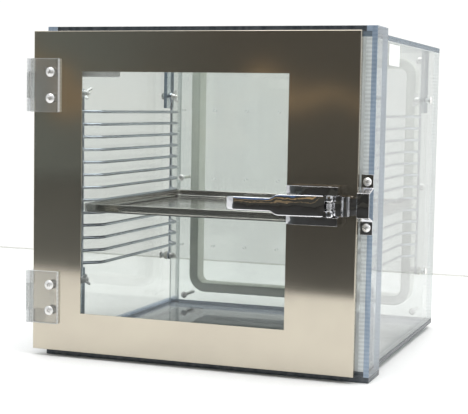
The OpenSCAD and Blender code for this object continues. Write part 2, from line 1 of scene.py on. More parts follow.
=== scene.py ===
"""Looks for the clear acrylic dry cabinet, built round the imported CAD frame.

Lengths are metres in the row frame: +X right, +Y to the back, +Z up, origin under the middle.
"""

import json
import math

import bmesh
import bpy
from mathutils import Matrix, Vector

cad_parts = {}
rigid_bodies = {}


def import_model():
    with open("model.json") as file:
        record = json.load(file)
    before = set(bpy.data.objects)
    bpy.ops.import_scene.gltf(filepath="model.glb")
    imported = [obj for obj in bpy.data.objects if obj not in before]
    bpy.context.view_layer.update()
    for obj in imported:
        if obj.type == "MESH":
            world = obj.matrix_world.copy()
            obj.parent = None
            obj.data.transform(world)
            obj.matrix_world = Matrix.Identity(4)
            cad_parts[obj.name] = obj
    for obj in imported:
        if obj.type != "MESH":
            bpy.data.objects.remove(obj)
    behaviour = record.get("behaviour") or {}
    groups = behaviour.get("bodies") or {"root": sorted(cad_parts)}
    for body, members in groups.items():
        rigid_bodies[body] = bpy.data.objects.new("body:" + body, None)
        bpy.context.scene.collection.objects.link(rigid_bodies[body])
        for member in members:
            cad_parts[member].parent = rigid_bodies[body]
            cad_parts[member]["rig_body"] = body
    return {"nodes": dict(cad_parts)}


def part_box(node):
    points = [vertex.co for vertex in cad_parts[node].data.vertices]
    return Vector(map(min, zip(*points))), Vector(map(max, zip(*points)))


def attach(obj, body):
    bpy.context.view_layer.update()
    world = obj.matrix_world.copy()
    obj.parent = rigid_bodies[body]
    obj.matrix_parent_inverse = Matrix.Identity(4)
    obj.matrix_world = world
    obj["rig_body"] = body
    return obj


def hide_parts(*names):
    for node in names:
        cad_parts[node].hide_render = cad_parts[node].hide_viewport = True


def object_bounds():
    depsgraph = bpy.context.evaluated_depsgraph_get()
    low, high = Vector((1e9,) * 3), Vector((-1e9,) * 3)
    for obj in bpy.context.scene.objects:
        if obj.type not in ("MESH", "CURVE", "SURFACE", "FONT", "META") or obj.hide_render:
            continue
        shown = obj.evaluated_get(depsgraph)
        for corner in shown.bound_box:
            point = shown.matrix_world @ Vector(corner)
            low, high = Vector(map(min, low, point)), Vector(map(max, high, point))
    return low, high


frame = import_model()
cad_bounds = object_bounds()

MM = 0.001
CAD = frame["nodes"]
X_AXIS = Vector((1, 0, 0))
Y_AXIS = Vector((0, 1, 0))
Z_AXIS = Vector((0, 0, 1))

# Pan head screws, in mm: the heads' radii and height, and the threaded shank's radius.
HINGE_HEAD_R = 4.7
CHAMBER_HEAD_R = 4.0
SMALL_HEAD_R = 3.9
HEAD_H = 2.4
SHANK_R = 1.95


# ---------------------------------------------------------------- materials


class Graph:
    """A material's node tree, built one call at a time."""

    def __init__(self, name):
        self.material = bpy.data.materials.new(name)
        self.material.use_nodes = True
        self.tree = self.material.node_tree
        self.tree.nodes.clear()
        self.output = self.tree.nodes.new("ShaderNodeOutputMaterial")

    def node(self, kind, settings=None, inputs=None):
        """A node with its settings, and with inputs set to numbers or linked from sockets."""
        made = self.tree.nodes.new(kind)
        for key, value in (settings or {}).items():
            setattr(made, key, value)
        for key, value in (inputs or {}).items():
            if isinstance(value, bpy.types.NodeSocket):
                self.tree.links.new(value, made.inputs[key])
            else:
                made.inputs[key].default_value = value
        return made

    def place(self, scale=(1, 1, 1)):
        """The point on the piece in metres, stretched by scale."""
        source = self.node("ShaderNodeTexCoord").outputs["Object"]
        mapping = self.node("ShaderNodeMapping", inputs={"Vector": source, "Scale": scale})
        return mapping.outputs["Vector"]

    def noise(self, vector, scale, detail=3.0, roughness=0.55):
        inputs = {"Vector": vector, "Scale": scale, "Detail": detail, "Roughness": roughness}
        return self.node("ShaderNodeTexNoise", inputs=inputs).outputs["Fac"]

    def math(self, operation, a, b=0.0):
        made = self.node("ShaderNodeMath", {"operation": operation}, {0: a, 1: b})
        return made.outputs[0]

    def spread(self, value, low, high, start=0.3, end=0.7):
        """Maps start..end of a value onto low..high, smoothly."""
        settings = {"interpolation_type": "SMOOTHSTEP"}
        inputs = {"Value": value, "From Min": start, "From Max": end, "To Min": low, "To Max": high}
        return self.node("ShaderNodeMapRange", settings, inputs).outputs["Result"]

    def blend(self, share, a, b):
        """A mix of two colours."""
        made = self.node("ShaderNodeMix", {"data_type": "RGBA"}, {"Factor": share})
        for socket, value in ((made.inputs[6], a), (made.inputs[7], b)):
            if isinstance(value, bpy.types.NodeSocket):
                self.tree.links.new(value, socket)
            else:
                socket.default_value = (*value, 1)
        return made.outputs[2]

    def bump(self, height, strength, distance):
        inputs = {"Height": height, "Strength": strength, "Distance": distance}
        return self.node("ShaderNodeBump", inputs=inputs).outputs["Normal"]

    def mix(self, share, a, b):
        """A mix of two shaders."""
        return self.node("ShaderNodeMixShader", inputs={0: share, 1: a, 2: b}).outputs[0]

    def done(self, shader):
        self.tree.links.new(shader, self.output.inputs["Surface"])
        return self.material


def metal(name, colour, worn, rough, grain, ripple=0.0, ripple_scale=60.0, shine=1.0, depth=0.02):
    """Metal with fine lines, faint smudges and wear. rough is the lowest and highest roughness,
    grain the stretch of the lines along X, Y and Z, ripple how uneven the plating is in mm,
    depth how deep the lines are in mm, and shine the share of light that is mirrored; the rest is
    spread evenly, as on satin metal."""
    g = Graph(name)
    lines = g.noise(g.place(grain), 1.0, 2.0)
    smudges = g.noise(g.place(), 22.0, 4.0, 0.6)
    share = g.math("MULTIPLY", g.spread(smudges, 0.0, 1.0), g.spread(lines, 0.4, 1.0))
    roughness = g.spread(g.math("ADD", g.math("MULTIPLY", lines, 0.5), g.math("MULTIPLY", smudges, 0.5)), *rough)
    waves = g.noise(g.place(), ripple_scale, 2.0, 0.4)
    surface = g.math("ADD", g.math("MULTIPLY", lines, depth * MM), g.math("MULTIPLY", waves, ripple * MM))
    inputs = {
        "Base Color": g.blend(share, colour, worn),
        "Metallic": shine,
        "Roughness": roughness,
        "Normal": g.bump(surface, 1.0, 1.0),
    }
    return g.done(g.node("ShaderNodeBsdfPrincipled", inputs=inputs).outputs[0])


def moulded(name, colour, dusty, rough, pebble=900.0, depth=0.03):
    """Rubber, silicone, nylon or paper: a matt surface with a fine pebble and a little dust."""
    g = Graph(name)
    fine = g.noise(g.place(), pebble, 2.0)
    patches = g.noise(g.place(), 35.0, 4.0)
    inputs = {
        "Base Color": g.blend(g.spread(patches, 0.0, 1.0), colour, dusty),
        "Roughness": g.spread(fine, *rough),
        "Specular IOR Level": 0.4,
        "Normal": g.bump(g.math("MULTIPLY", fine, depth * MM), 1.0, 1.0),
    }
    return g.done(g.node("ShaderNodeBsdfPrincipled", inputs=inputs).outputs[0])


def acrylic(name, thin_axis, tint, edge, edge_share=0.72, haze=0.012, saw=0.3, foot=None):
    """A clear sheet whose thin side lies along thin_axis (0, 1 or 2). Its broad faces let light through
    and mirror a little. Its sawn edges take the colour edge, which is partly the sheet's faint tint and partly
    painted reflection and painted shade, with saw marks across them as strong as saw.
    Below the height foot the glued joint shows through it in slate blue."""
    g = Graph(name)
    facing = g.node("ShaderNodeTexCoord").outputs["Normal"]
    parts = g.node("ShaderNodeSeparateXYZ", inputs={0: facing})
    broad = g.spread(g.math("ABSOLUTE", parts.outputs[thin_axis]), 0.0, 1.0, 0.55, 0.95)

    back = g.node("ShaderNodeNewGeometry").outputs["Backfacing"]
    index = g.spread(back, 1.49, 1 / 1.49, 0.0, 1.0)
    waviness = g.math("MULTIPLY", g.noise(g.place(), 9.0, 1.0), 0.6 * MM)
    normal = g.bump(waviness, 0.5, 1.0)
    mirror_share = g.node("ShaderNodeFresnel", inputs={"IOR": index}).outputs[0]
    scratches = g.noise(g.place((300, 40, 160)), 1.0, 5.0, 0.7)
    smears = g.noise(g.place(), 16.0, 4.0, 0.6)
    gloss_rough = g.spread(smears, 0.015, 0.07)
    gloss = g.node("ShaderNodeBsdfGlossy", inputs={"Roughness": gloss_rough, "Normal": normal}).outputs[0]
    through = tint
    if foot:
        height = g.node("ShaderNodeSeparateXYZ", inputs={0: g.place()}).outputs[2]
        through = g.blend(g.spread(height, 1.0, 0.0, foot - 0.4 * MM, foot), tint, (0.50, 0.56, 0.63))
    through = through if foot else (*tint, 1)
    clear = g.node("ShaderNodeBsdfTransparent", inputs={"Color": through}).outputs[0]
    dust = g.node("ShaderNodeBsdfDiffuse", inputs={"Color": (0.84, 0.86, 0.86, 1)}).outputs[0]
    uneven = 0.6 if haze < 0.1 else 0.08
    patches = g.spread(g.math("MULTIPLY", scratches, smears), 1 - uneven, 1 + uneven, 0.15, 0.45)
    dust_share = g.math("MULTIPLY", patches, haze)
    face = g.mix(mirror_share, g.mix(dust_share, clear, dust), gloss)

    marks = g.node(
        "ShaderNodeTexWave",
        {"bands_direction": "Z"},
        {"Vector": g.place(), "Scale": 85.0, "Distortion": 0.6, "Detail": 2.0, "Detail Scale": 4.0},
    ).outputs["Fac"]
    streaks = g.noise(g.place((60, 60, 8)), 3.0, 3.0)
    # pale, used for the lighter streaks and the see-through share of the edges, is made from edge, so it carries the
    # same painted reflection and shade.
    pale = tuple(min(1.0, 1.25 * c + 0.05) for c in edge)
    lines = g.math("MULTIPLY", marks, saw)
    edge_inputs = {
        "Base Color": g.blend(g.math("ADD", lines, g.spread(streaks, 0.0, 1.0 - saw)), edge, pale),
        "Roughness": g.spread(marks, 0.16, 0.34),
        "Normal": g.bump(g.math("MULTIPLY", lines, 0.05 * MM), 0.6, 1.0),
    }
    sawn = g.node("ShaderNodeBsdfPrincipled", inputs=edge_inputs).outputs[0]
    edge_clear = g.node("ShaderNodeBsdfTransparent", inputs={"Color": (*pale, 1)}).outputs[0]
    return g.done(g.mix(broad, g.mix(edge_share, edge_clear, sawn), face))


# Edge colours of the sheets: the pale ones, here and for the hinges, are partly the sheets' own tint and partly
# painted reflection of the pale surroundings; the slate and blue edge colours are painted reflections of the
# surroundings seen in the edges.
PALE_EDGE = (0.66, 0.69, 0.69)
PAINTED_SLATE_REFLECTION = (0.13, 0.17, 0.21)
PAINTED_BLUE_REFLECTION = (0.27, 0.34, 0.43)
# The near-black edge colour is painted shade and painted reflection: it stands for the shadow under the door and the
# dark reflections in the edges of the floor sheet and the collar's flat pieces.
PAINTED_SHADE_EDGE = (0.035, 0.045, 0.055)
HINGE_TINT = (0.97, 0.975, 0.97)
HINGE_EDGE = (0.66, 0.67, 0.67)
FLOOR_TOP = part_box("bottom_panel")[1].z
JOINT_TOP = FLOOR_TOP + 4.6 * MM
LEFT_WALL = acrylic("clear_acrylic_left", 0, (0.905, 0.915, 0.905), PALE_EDGE, foot=JOINT_TOP)
RIGHT_WALL = acrylic("clear_acrylic_right", 0, (0.975, 0.98, 0.975), PALE_EDGE, 0.72, 0.14, 0.5)
BACK_SHEET = acrylic("clear_acrylic_back", 1, (0.925, 0.937, 0.930), PALE_EDGE)
PLENUM_SHEET = acrylic("clear_acrylic_plenum", 1, (0.925, 0.937, 0.930), PALE_EDGE, foot=JOINT_TOP)
GLAZING = acrylic("clear_acrylic_door", 1, (0.935, 0.945, 0.938), PALE_EDGE)
TOP_SHEET = acrylic("clear_acrylic_top", 2, (0.955, 0.965, 0.957), PAINTED_SLATE_REFLECTION)
# The floor sheet's dark see-through colour is partly its own tint and partly painted shade, for the shadow that falls
# on the cabinet's floor under the tray.
FLOOR_SHEET_TINT_AND_SHADE = acrylic("acrylic_floor_tint_and_shade", 2, (0.60, 0.635, 0.65), PAINTED_SHADE_EDGE, 0.85, 0.05)
STRIP_SHEET = acrylic("clear_acrylic_strip", 0, (0.78, 0.82, 0.84), PAINTED_SLATE_REFLECTION)
COLLAR_SIDE = acrylic("collar_acrylic_side", 0, (0.95, 0.965, 0.975), PAINTED_BLUE_REFLECTION, 0.85, 0.12, 0.1)
COLLAR_FLAT = acrylic("collar_acrylic_flat", 2, (0.93, 0.95, 0.96), PAINTED_SHADE_EDGE, 0.92, 0.06, 0.1)
FLANGE_SHEET = acrylic("collar_acrylic_flange", 1, (0.97, 0.975, 0.975), PALE_EDGE, 0.8, 0.5)
HINGE_X = acrylic("hinge_plastic_x", 0, HINGE_TINT, HINGE_EDGE, 0.8, 0.15, 0.0)
HINGE_Y = acrylic("hinge_plastic_y", 1, HINGE_TINT, HINGE_EDGE, 0.8, 0.15, 0.0)
DOOR_STEEL = metal(
    "door_steel", (0.56, 0.51, 0.42), (0.52, 0.47, 0.39), (0.065, 0.105), (25, 25, 2600),
    ripple=0.02, ripple_scale=14.0, shine=0.92, depth=0.0015,
)
TRAY_STEEL = metal(
    "tray_steel", (0.46, 0.445, 0.415), (0.40, 0.385, 0.36), (0.12, 0.2), (700, 30, 700),
    ripple=0.02, ripple_scale=14.0, shine=0.92, depth=0.004,
)
CHROME = metal("latch_chrome", (0.80, 0.80, 0.82), (0.70, 0.70, 0.72), (0.02, 0.05), (400, 400, 400), 0.9, 42.0)
WIRE = metal("rack_wire", (0.46, 0.49, 0.53), (0.36, 0.39, 0.43), (0.08, 0.18), (500, 500, 500), 0.03)
BRIGHT_STEEL = metal(
    "fastener_steel", (0.88, 0.87, 0.85), (0.78, 0.77, 0.75), (0.14, 0.26), (900, 900, 900), shine=0.55
)
SPRING_STEEL = metal("spring_steel", (0.45, 0.45, 0.46), (0.35, 0.34, 0.33), (0.2, 0.35), (700, 700, 700))
INLET_METAL = metal("inlet_metal", (0.72, 0.70, 0.64), (0.58, 0.56, 0.50), (0.15, 0.28), (700, 60, 700))
DOOR_SEAL = moulded("door_seal", (0.26, 0.27, 0.27), (0.32, 0.33, 0.33), (0.45, 0.65))
PLENUM_SEAL = moulded("plenum_seal", (0.86, 0.88, 0.80), (0.90, 0.92, 0.85), (0.40, 0.60), 600.0)
RUBBER = moulded("foot_rubber", (0.03, 0.03, 0.032), (0.08, 0.08, 0.08), (0.55, 0.8))
NYLON = moulded("nylon", (0.78, 0.77, 0.72), (0.7, 0.69, 0.63), (0.35, 0.5), 500.0, 0.01)
PAPER = moulded("label_paper", (0.90, 0.90, 0.89), (0.84, 0.84, 0.82), (0.5, 0.7), 1500.0, 0.01)


# ---------------------------------------------------------------- mesh helpers


def finish_piece(name, bm, material, body, stands_for=(), sharp=35.0):
    """Turns a bmesh into a smooth-shaded piece that rides on a body and stands for CAD nodes."""
    bmesh.ops.recalc_face_normals(bm, faces=bm.faces)
    mesh = bpy.data.meshes.new(name)
    bm.to_mesh(mesh)
    bm.free()
    for polygon in mesh.polygons:
        polygon.use_smooth = True
    mesh.set_sharp_from_angle(angle=math.radians(sharp))
    mesh.materials.append(material)
    piece = bpy.data.objects.new(name, mesh)
    bpy.context.scene.collection.objects.link(piece)
    normals = piece.modifiers.new("face_normals", "WEIGHTED_NORMAL")
    normals.keep_sharp = True
    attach(piece, body)
    if stands_for:
        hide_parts(*stands_for)
    return piece


def cad_copy(node):
    """A welded bmesh of a CAD node, with its flat faces joined up."""
    bm = bmesh.new()
    bm.from_mesh(CAD[node].data)
    bmesh.ops.remove_doubles(bm, verts=bm.verts, dist=0.002 * MM)
    bmesh.ops.dissolve_limit(bm, angle_limit=math.radians(0.5), verts=bm.verts, edges=bm.edges)
    return bm


def eased(node, name, material, bevel=0.35, corner=50.0, segments=2, sharp_angle=40.0):
    """A CAD node with its edges broken, as its own piece."""
    bm = cad_copy(node)
    sharp = [e for e in bm.edges if e.is_manifold and e.calc_face_angle(0) > math.radians(corner)]
    bmesh.ops.bevel(
        bm, geom=sharp, offset=bevel * MM, segments=segments, profile=0.6, affect="EDGES", clamp_overlap=True
    )
    return finish_piece(name, bm, material, CAD[node]["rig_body"], [node], sharp_angle)


def solids(node):
    """The lowest and highest corner of each separate solid of a CAD node."""
    bm = bmesh.new()
    bm.from_mesh(CAD[node].data)
    bmesh.ops.remove_doubles(bm, verts=bm.verts, dist=0.002 * MM)
    left = set(bm.verts)
    boxes = []
    while left:
        group = [left.pop()]
        low, high = group[0].co.copy(), group[0].co.copy()
        while group:
            vert = group.pop()
            low = Vector(map(min, low, vert.co))
            high = Vector(map(max, high, vert.co))
            for edge in vert.link_edges:
                other = edge.other_vert(vert)
                if other in left:
                    left.remove(other)
                    group.append(other)
        boxes.append((low, high))
    bm.free()
    return sorted(boxes, key=lambda b: tuple(round(v, 5) for v in (b[0] + b[1])))


def add_rings(bm, rings, cap_start=True, cap_end=True, closed=False):
    """Joins rings of equally many points into a skin."""
    rows = [[bm.verts.new(p) for p in ring] for ring in rings]
    pairs = list(zip(rows, rows[1:]))
    if closed:
        pairs.append((rows[-1], rows[0]))
    for a, b in pairs:
        for i in range(len(a)):
            j = (i + 1) % len(a)
            bm.faces.new((a[i], a[j], b[j], b[i]))
    if cap_start and not closed:
        bm.faces.new(rows[0])
    if cap_end and not closed:
        bm.faces.new(reversed(rows[-1]))


def add_lathe(bm, profile, place=Matrix.Identity(4), sides=32):
    """Turns a profile of (radius, height) points in mm round Z, and puts it at place."""
    rings = []
    for radius, height in profile:
        ring = []
        for i in range(sides):
            a = 2 * math.pi * i / sides
            point = Vector((radius * math.cos(a), radius * math.sin(a), height)) * MM
            ring.append(place @ point)
        rings.append(ring)
    add_rings(bm, rings)


def add_tube(bm, points, radius, sides=12, closed=False):
    """A round wire of the given radius in metres along points."""
    count = len(points)
    rings = []
    side = None
    for i, point in enumerate(points):
        before = points[i - 1] if closed or i else point
        after = points[(i + 1) % count] if closed or i < count - 1 else point
        along = (after - before).normalized()
        if side is None:
            side = along.orthogonal().normalized()
        side = (side - along * side.dot(along)).normalized()
        other = along.cross(side)
        turn = [2 * math.pi * k / sides for k in range(sides)]
        rings.append([point + radius * (math.cos(a) * side + math.sin(a) * other) for a in turn])
    add_rings(bm, rings, closed=closed)


def rounded_path(corners, radius, steps=6):
    """A polyline with each inner corner rounded off."""
    points = [corners[0]]
    for before, corner, after in zip(corners, corners[1:], corners[2:]):
        start = corner + (before - corner).normalized() * radius
        end = corner + (after - corner).normalized() * radius
        for k in range(steps + 1):
            t = k / steps
            points.append(start * (1 - t) ** 2 + corner * 2 * t * (1 - t) + end * t * t)
    points.append(corners[-1])
    return points


def rounded_rectangle(width, height, radius, steps=6):
    """Points round a rectangle with rounded corners, about the origin, in the plane of two axes."""
    radius = max(radius, 0.01 * MM)
    points = []
    for cx, cy, start in ((1, 1, 0), (-1, 1, 90), (-1, -1, 180), (1, -1, 270)):
        for k in range(steps + 1):
            a = math.radians(start + 90 * k / steps)
            x = cx * (width / 2 - radius) + radius * math.cos(a)
            y = cy * (height / 2 - radius) + radius * math.sin(a)
            points.append((x, y))
    return points


def turned(axis, at):
    """The matrix that takes +Z to axis and the origin to at."""
    rotation = Z_AXIS.rotation_difference(Vector(axis)).to_matrix().to_4x4()
    return Matrix.Translation(at) @ rotation


def middle(box):
    return (box[0] + box[1]) / 2


# ---------------------------------------------------------------- fasteners


def cut(target, cutter):
    """The mesh of target with cutter taken away. Both helper objects are removed."""
    modifier = target.modifiers.new("cut", "BOOLEAN")
    modifier.operation = "DIFFERENCE"
    modifier.solver = "EXACT"
    modifier.object = cutter
    shown = target.evaluated_get(bpy.context.evaluated_depsgraph_get())
    mesh = bpy.data.meshes.new_from_object(shown)
    for helper in (target, cutter):
        bpy.data.objects.remove(helper)
    return mesh


def helper_object(bm):
    mesh = bpy.data.meshes.new("helper")
    bmesh.ops.recalc_face_normals(bm, faces=bm.faces)
    bm.to_mesh(mesh)
    bm.free()
    made = bpy.data.objects.new("helper", mesh)
    bpy.context.scene.collection.objects.link(made)
    return made


def pan_screw(head_r, head_h, shank_r, length):
    """A domed screw along Z: head above the origin, with a cross recess, and a threaded shank below."""
    pitch = 0.8
    profile = [(0.05, -length), (shank_r * 0.7, -length)]
    turns = int((length - 1.2) / pitch)
    for k in range(turns):
        base = -length + 0.6 + k * pitch
        profile += [(shank_r * 0.86, base), (shank_r, base + pitch / 2)]
    profile += [(shank_r * 0.86, -0.5), (shank_r * 0.9, 0), (head_r * 0.94, 0), (head_r, head_h * 0.12)]
    for share in (0.99, 0.95, 0.88, 0.78, 0.65, 0.5, 0.34, 0.18, 0.02):
        profile.append((head_r * share, head_h * (0.2 + 0.8 * (1 - share ** 2.2))))
    body = bmesh.new()
    add_lathe(body, profile, sides=28)

    # One plus-shaped cutter: two overlapping arms would make the exact boolean return nothing.
    reach, half, depth = head_r * 0.62, head_r * 0.17, head_h * 0.75
    quarter = ((reach, -half), (reach, half), (half, half))
    plus = []
    for turn in range(4):
        rotation = Matrix.Rotation(math.radians(90 * turn), 4, "Z")
        plus += [rotation @ Vector((x, y, 0)) for x, y in quarter]
    cross = bmesh.new()
    rings = []
    for z, share in ((head_h - depth, 0.45), (head_h + 0.5, 1.08)):
        rings.append([Vector((point.x * share, point.y * share, z)) * MM for point in plus])
    add_rings(cross, rings)
    return cut(helper_object(body), helper_object(cross))


def add_copies(name, mesh, places, material, body, nodes):
    """One piece made of the same mesh at several places."""
    bm = bmesh.new()
    for place in places:
        copy = mesh.copy()
        copy.transform(place)
        bm.from_mesh(copy)
    return finish_piece(name, bm, material, body, nodes, 42.0)


def screws(name, node, axis, head_r, head_h, turns=(12, 57, -25, 80), shank_r=SHANK_R):
    """Domed screws in place of a CAD node's, with their heads towards axis."""
    axis = Vector(axis)
    size = max(abs((b - a).dot(axis)) for a, b in solids(node)) / MM
    mesh = pan_screw(head_r, head_h, shank_r, size - head_h)
    places = []
    for k, box in enumerate(solids(node)):
        seat = middle(box) + axis * ((size / 2 - head_h) * MM)
        spin = Matrix.Rotation(math.radians(turns[k % len(turns)]), 4, "Z")
        places.append(turned(axis, seat) @ spin)
    return add_copies(name, mesh, places, BRIGHT_STEEL, CAD[node]["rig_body"], [node])


def side_screws(name, node, head_r, head_h):
    """The rack screws: heads outside both walls, points inside."""
    boxes = solids(node)
    size = (boxes[0][1].x - boxes[0][0].x) / MM
    mesh = pan_screw(head_r, head_h, SHANK_R, size - head_h)
    places = []
    for k, box in enumerate(boxes):
        out = X_AXIS if middle(box).x > 0.01 else -X_AXIS
        seat = middle(box) + out * ((size / 2 - head_h) * MM)
        places.append(turned(out, seat) @ Matrix.Rotation(0.5 + k, 4, "Z"))
    return add_copies(name, mesh, places, BRIGHT_STEEL, "cabinet", [node])


def wing_nut_mesh():
    """A wing nut along Z: a tapered hub on the origin and two ears that lean out."""
    bm = bmesh.new()
    add_lathe(bm, [(2.05, 0), (3.5, 0), (3.6, 0.4), (3.1, 3.6), (2.8, 4.9), (2.05, 5.0)], sides=28)
    ear = [(1.6, 0.9), (3.4, 1.0), (5.6, 2.6), (7.3, 4.6), (7.7, 6.0), (7.0, 6.8), (5.6, 6.7), (3.9, 5.2), (1.6, 4.4)]
    for side in (1, -1):
        rings = []
        for y, inset in ((-0.85, 0.35), (-0.6, 0.0), (0.6, 0.0), (0.85, 0.35)):
            centre = Vector((4.6, y, 3.8))
            ring = []
            for x, z in ear:
                point = Vector((x, y, z))
                away = (point - centre).normalized()
                point = point - away * inset
                ring.append(Vector((side * point.x, side * point.y, point.z)) * MM)
            rings.append(ring)
        add_rings(bm, rings)
    mesh = bpy.data.meshes.new("wing_nut")
    bmesh.ops.recalc_face_normals(bm, faces=bm.faces)
    bm.to_mesh(mesh)
    bm.free()
    return mesh


def wing_nuts(name, node):
    mesh = wing_nut_mesh()
    eyes = {1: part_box("right_rack_uprights")[0].x, -1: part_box("left_rack_uprights")[1].x}
    places = []
    for k, box in enumerate(solids(node)):
        centre = middle(box)
        side = 1 if centre.x > 0.01 else -1
        seat = Vector((face_of_eye(side, eyes), centre.y, centre.z))
        inward = -X_AXIS * side
        spin = Matrix.Rotation(math.radians((40, 140, 65, 20)[k % 4]), 4, "Z")
        places.append(turned(inward, seat) @ spin)
    return add_copies(name, mesh, places, BRIGHT_STEEL, "cabinet", [node])


def face_of_eye(side, eyes):
    """The inner face of the rack's eyes, which the nuts press on."""
    upright_bulge = 0.5 * MM
    return eyes[side] + side * upright_bulge


# ---------------------------------------------------------------- chamber and seals


def build_chamber():
    for node, sheet in (
        ("bottom_panel", FLOOR_SHEET_TINT_AND_SHADE),
        ("top_panel", TOP_SHEET),
        ("left_wall", LEFT_WALL),
        ("right_wall", RIGHT_WALL),
        ("back_panel", BACK_SHEET),
        ("plenum_panel", PLENUM_SHEET),
        ("rack_support_strips", STRIP_SHEET),
        ("door_glazing", GLAZING),
    ):
        eased(node, f"{node}_sheet", sheet, 0.3)
    for node, sheet in (
        ("collar_bottom", COLLAR_FLAT),
        ("collar_top", COLLAR_FLAT),
        ("collar_left", COLLAR_SIDE),
        ("collar_right", COLLAR_SIDE),
        ("front_flange", FLANGE_SHEET),
    ):
        eased(node, f"{node}_sheet", sheet, 0.4)


def add_seal(bm, low, high, band, radius, lip):
    """A frame-shaped seal between two corners, pulled along Y, with a rounded section."""
    width, height = high.x - low.x, high.z - low.z
    centre = (low + high) / 2
    depth = high.y - low.y
    section = []
    for inset, y in (
        (0.0, lip), (0.0, depth - lip), (lip * 0.3, depth - lip * 0.3), (lip, depth),
        (band - lip, depth), (band - lip * 0.3, depth - lip * 0.3), (band, depth - lip),
        (band, lip), (band - lip * 0.3, lip * 0.3), (band - lip, 0.0), (lip, 0.0), (lip * 0.3, lip * 0.3),
    ):
        outline = rounded_rectangle(width - 2 * inset, height - 2 * inset, radius - inset, 8)
        section.append([Vector((centre.x + x, low.y + y, centre.z + z)) for x, z in outline])
    add_rings(bm, section, closed=True)


def build_seals():
    bm = bmesh.new()
    low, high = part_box("plenum_gasket")
    add_seal(bm, low, high, 11.5 * MM, 20 * MM, 2.2 * MM)
    finish_piece("plenum_gasket_ring", bm, PLENUM_SEAL, "cabinet", ["plenum_gasket"])

    bm = bmesh.new()
    low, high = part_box("door_gasket")
    add_seal(bm, low, high, 6 * MM, 4 * MM, 1.2 * MM)
    finish_piece("door_gasket_ring", bm, DOOR_SEAL, "door", ["door_gasket"])

    bm = bmesh.new()
    for low, high in solids("rear_feet"):
        radius, height = (high.x - low.x) / 2 / MM, (high.z - low.z) / MM
        at = Matrix.Translation(((low.x + high.x) / 2, (low.y + high.y) / 2, low.z))
        profile = [(0.05, 0), (radius * 0.78, 0), (radius * 0.86, 0.3), (radius * 0.88, 1.2), (radius, height - 1.2)]
        profile += [(radius, height - 0.4), (radius * 0.96, height), (0.05, height)]
        add_lathe(bm, profile, at, 40)
    finish_piece("rear_foot_pads", bm, RUBBER, "cabinet", ["rear_feet"])


def build_inlet():
    low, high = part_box("purge_inlet")
    centre = (low + high) / 2
    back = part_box("back_panel")[1].y
    start = (low.y - back) / MM
    place = turned(Y_AXIS, Vector((centre.x, back, centre.z)))
    profile = [(2.5, start), (4.4, start), (5.0, start + 0.6), (5.0, 0), (7.4, 0), (8.0, 0.6), (8.0, 3.4), (7.4, 4.0)]
    profile += [(3.1, 4.6)]
    for k in range(4):
        base = 6.0 + k * 3.4
        profile += [(3.1, base), (4.0, base + 0.5), (3.2, base + 2.8)]
    profile += [(3.0, 20.0), (2.5, 20.0)]
    bm = bmesh.new()
    rings = []
    for radius, height in profile:
        angles = [2 * math.pi * i / 36 for i in range(36)]
        rings.append([place @ (Vector((radius * math.cos(a), radius * math.sin(a), height)) * MM) for a in angles])
    add_rings(bm, rings, closed=True)
    finish_piece("purge_inlet_barb", bm, INLET_METAL, "cabinet", ["purge_inlet"])
    eased("purge_inlet_nut", "purge_inlet_hex_nut", INLET_METAL, 0.4)


def build_chamber_screws():
    screws("plenum_pan_screws", "plenum_screws", -Y_AXIS, CHAMBER_HEAD_R, HEAD_H)
    screws("strike_pan_screws", "strike_screws", -Y_AXIS, SMALL_HEAD_R, HEAD_H)
    side_screws("rack_pan_screws", "rack_screws", CHAMBER_HEAD_R, HEAD_H)
    wing_nuts("rack_wing_nut_set", "rack_wing_nuts")
    eased("rack_spacers", "rack_spacer_washers", NYLON, 0.4)


# ---------------------------------------------------------------- racks and tray


def build_uprights(side, node, name):
    """Two upright wires whose ends are flattened into eyes."""
    bm = bmesh.new()
    for low, high in solids(node):
        y = (low.y + high.y) / 2
        inner = low.x if side > 0 else high.x
        wire_r, eye_r, eye_t = 1.4 * MM, 4.6 * MM, 2.4 * MM
        wire_x = inner + side * wire_r
        eye_x = inner + side * (0.5 * MM + eye_t / 2)
        ends = (low.z + eye_r, high.z - eye_r)
        points = [
            Vector((eye_x, y, ends[0] + eye_r * 0.8)),
            Vector((wire_x, y, ends[0] + eye_r + 5 * MM)),
            Vector((wire_x, y, (ends[0] + ends[1]) / 2)),
            Vector((wire_x, y, ends[1] - eye_r - 5 * MM)),
            Vector((eye_x, y, ends[1] - eye_r * 0.8)),
        ]
        add_tube(bm, points, wire_r, 16)
        for z in ends:
            place = turned(X_AXIS, Vector((eye_x, y, z)))
            half = eye_t / 2 / MM
            profile = [(2.15, -half + 0.3), (2.45, -half), (4.1, -half), (4.6, -half * 0.4), (4.6, half * 0.4)]
            profile += [(4.1, half), (2.45, half), (2.15, half - 0.3)]
            rings = []
            for radius, height in profile:
                angles = [2 * math.pi * i / 32 for i in range(32)]
                ring = [Vector((radius * math.cos(a), radius * math.sin(a), height)) * MM for a in angles]
                rings.append([place @ p for p in ring])
            add_rings(bm, rings, closed=True)
    finish_piece(name, bm, WIRE, "cabinet", [node])


